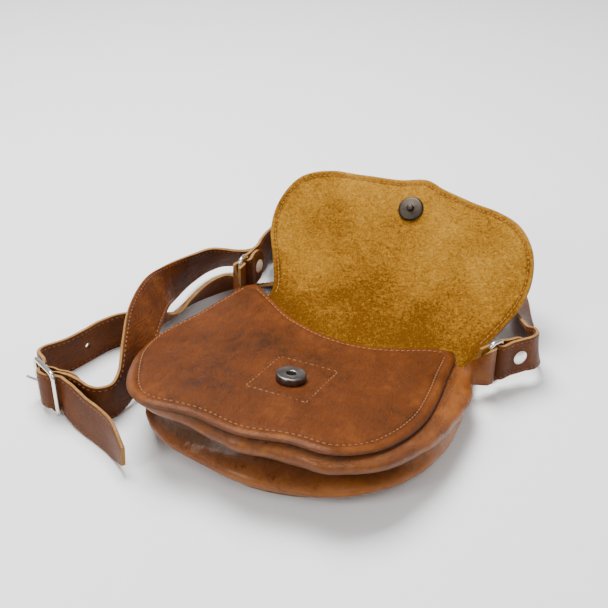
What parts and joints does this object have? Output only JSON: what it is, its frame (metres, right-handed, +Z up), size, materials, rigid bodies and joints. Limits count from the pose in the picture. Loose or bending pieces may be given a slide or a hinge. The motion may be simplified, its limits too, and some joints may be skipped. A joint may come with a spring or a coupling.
{
  "type": "leather sling bag",
  "caption": "Soft rounded leather sling bag lying open: front panel with a magnetic snap, bulging gusset, large flap with a suede inside, wide strap with a buckle, ring joints.",
  "frame": {"origin": "middle of the flat part of the back panel's outer face, which the bag lies on", "axes": "+X right across the bag, +Y from the bag's bottom towards its mouth, +Z up out of the front panel"},
  "size_m": [0.2804, 0.322, 0.0819],
  "materials": {
    "panel_leather": "semi-gloss waxed",
    "body_leather": "semi-gloss waxed",
    "suede_backed_leather": "suede on the inside, smooth outside",
    "strap_leather": "semi-gloss, raw tan edges",
    "nickel": "polished nickel",
    "gunmetal": "satin gunmetal"
  },
  "bodies": {
    "root": {"front_panel": "panel_leather", "gusset": "body_leather", "back_flap": "suede_backed_leather", "strap_long": "strap_leather", "strap_short": "strap_leather", "ring_left": "nickel", "ring_right": "nickel", "rivet_left": "nickel", "rivet_right": "nickel", "snap_socket": "gunmetal", "snap_stud": "gunmetal", "buckle_frame": "nickel", "buckle_prong": "nickel"}
  },
  "joints": []
}
